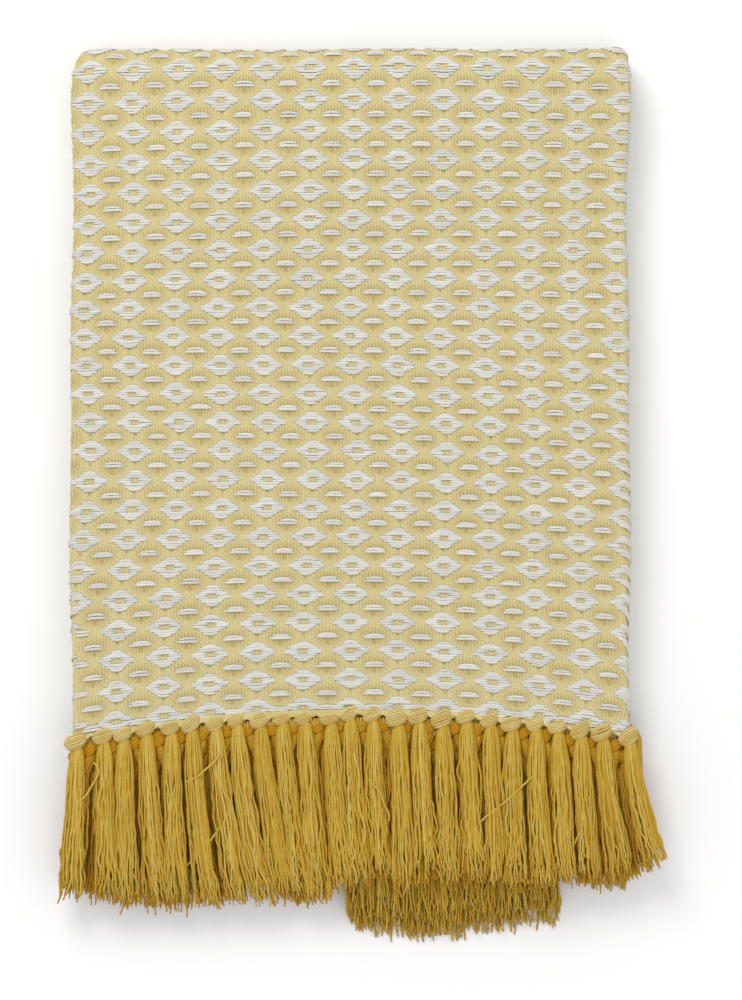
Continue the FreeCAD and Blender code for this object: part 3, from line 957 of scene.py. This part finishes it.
def make_fringe():
    """Eight rows of knots and tassels. The front row's tassels are a piece each."""
    pieces = []
    for row in range(ROWS):
        knots = Yarns()
        tassels = Yarns()
        for index, place in enumerate(row_places(row)):
            centre = settle(place)
            size = KNOT_SIZE * RANDOM.uniform(0.84, 1.08)
            if row == 0:
                centre = centre + np.array([0, 1.4 + RANDOM.normal(0, 0.7), 0.5]) * MM
                # Painted light: the front knots take high tones of the paler knot stops.
                knot_yarns(knots, centre, size, (0.35, 1.0), 6, 17, 8)
                hem_yarns(knots, centre, row, 11, 8)
                name = f"front_tassel_{index + 1:02d}"
                own = Yarns()
                tassel_yarns(own, centre, row, 0, FRONT_YARNS, 48, 6)
                tassel = own.build(f"{name}_yarns")
                pieces.append(finish_piece(tassel, mustard_yarn, [name]))
            else:
                # Painted shade: the knots under the front row take low tones.
                knot_yarns(knots, centre - 0.6 * MM * UP, size * 0.88, (0.05, 0.45), 6, 11, 6)
                hem_yarns(knots, centre, row, 9, 6)
                slip = KNOT_PITCH / 2 * (row % 2) * (row < ROWS / 2) * RANDOM.choice((-1, 1))
                tassel_yarns(tassels, centre, row, slip, LOWER_YARNS, 34, 5)
        node = f"knots_row_{row + 1}"
        # Painted light and shade: the front knots take the paler knot material, the rows under them the
        # darker fringe one.
        material = mustard_yarn if row else lit_knot_yarn
        pieces.append(finish_piece(knots.build(f"{node}_yarns"), material, [node]))
        if row:
            node = f"tassels_row_{row + 1}"
            lower = tassels.build(f"{node}_yarns")
            pieces.append(finish_piece(lower, mustard_yarn, [node]))
    return pieces


def make_loop():
    """The smooth side of a bundle from the rows below, which bulges out past the cloth's right edge."""
    yarns = Yarns()
    steps = 28
    count = 12
    share = np.linspace(0, 1, steps)
    angle = 2 * math.pi * np.arange(count)[:, None] / count
    top = hem_y(MID_X + HALF_WIDTH, 0) + 9 * MM
    shoulder = np.sin(math.pi / 2 * np.clip(share * 6, 0, 1))
    swell = 0.25 + 0.75 * shoulder
    paths = np.empty((count, steps, 3))
    paths[..., 0] = MID_X + HALF_WIDTH + (8.5 * shoulder - 4.5 + 8 * share**3) * MM
    paths[..., 0] += 3.0 * MM * swell * np.cos(angle)
    paths[..., 1] = top - 80 * MM * share
    paths[..., 2] = fall(MID_X + HALF_WIDTH, paths[..., 1], ROW_BOXES[2][0][2] + 1.5 * MM, 2)
    paths[..., 2] += 2.4 * MM * swell * np.sin(angle)
    half = np.full((count, steps), 1.0 * MM)
    yarns.add(paths, UP, half, half, 6, RANDOM.uniform(0.35, 0.65, count))
    return finish_piece(yarns.build("edge_bundle"), mustard_yarn)


def make_strays():
    """Single yarns that have come loose and lie across the front tassels."""
    yarns = Yarns()
    steps = 26
    share = np.linspace(0, 1, steps)
    half = np.full((1, steps), STRAY_YARN)
    curl = np.sin(math.pi * share) + 0.2 * np.sin(9 * share)
    for at_x, below, sideways, down, bend in STRAYS:
        x = MID_X + (at_x + sideways * share**1.3 + bend * curl) * MM
        y = hem_y(MID_X + at_x * MM, 0) - (below + down * share) * MM
        z = fall(x, y, ROW_BOXES[0][1][2] + 2.0 * MM, 0) - 2.6 * MM * np.abs(2 * share - 1) ** 4
        path = np.stack([x, y, z], axis=-1)[None]
        yarns.add(path, UP, half, half, 6, np.array([0.8]))
    return finish_piece(yarns.build("loose_yarns"), mustard_yarn)


# The studio, in metres, with each light's name, place, size and power in watts
FLOOR_REACH = 6.0
LIGHTS = (
    ("key", (-0.55, 1.35, 1.45), 0.9, 20.0),
    ("fill", (0.5, -1.0, 1.9), 1.6, 8.0),
)
CAMERA_DISTANCE = 2.4
VIEW_HEIGHT = 0.561


def make_stage():
    """A plain pale floor, soft studio light and a camera straight above."""
    scene = bpy.context.scene
    scene.view_settings.view_transform = "Standard"
    mesh = bpy.data.meshes.new("floor")
    corners = ((-1, -1), (1, -1), (1, 1), (-1, 1))
    mesh.from_pydata([(FLOOR_REACH * x, FLOOR_REACH * y, 0) for x, y in corners], [], [(0, 1, 2, 3)])
    floor = bpy.data.objects.new("floor", mesh)
    scene.collection.objects.link(floor)
    n = Nodes("pale_floor")
    n.feed(n.shader.inputs["Base Color"], (0.86, 0.86, 0.86, 1.0))
    n.shader.inputs["Roughness"].default_value = 0.9
    floor.data.materials.append(n.material)
    world = bpy.data.worlds.new("studio")
    world.use_nodes = True
    world.node_tree.nodes["Background"].inputs[0].default_value = (1.0, 1.0, 1.0, 1.0)
    world.node_tree.nodes["Background"].inputs[1].default_value = 0.8
    scene.world = world
    for name, place, size, power in LIGHTS:
        light = bpy.data.lights.new(name, "AREA")
        light.energy = power
        light.size = size
        lamp = bpy.data.objects.new(name, light)
        lamp.location = place
        lamp.rotation_euler = (-Vector(place)).to_track_quat("-Z", "Y").to_euler()
        scene.collection.objects.link(lamp)
    camera_data = bpy.data.cameras.new("camera")
    camera = bpy.data.objects.new("camera", camera_data)
    camera.location = (MID_X + 11.8 * MM, TOP_Y - 253.5 * MM, STACK_TOP + CAMERA_DISTANCE)
    camera_data.sensor_width = 36.0
    camera_data.lens = camera_data.sensor_width * CAMERA_DISTANCE / VIEW_HEIGHT
    camera_data.clip_end = 50.0
    scene.collection.objects.link(camera)
    scene.camera = camera


CLOTH_NODES = (
    "top_panel", "outer_top_fold", "bottom_panel", "lower_fold",
    "third_panel", "inner_top_fold", "second_panel",
)

cloth = finish_piece(make_cloth(), woven_cloth, CLOTH_NODES)
weave_pieces = make_weave()
fringe_pieces = make_fringe() + [make_loop(), make_strays()]
make_stage()
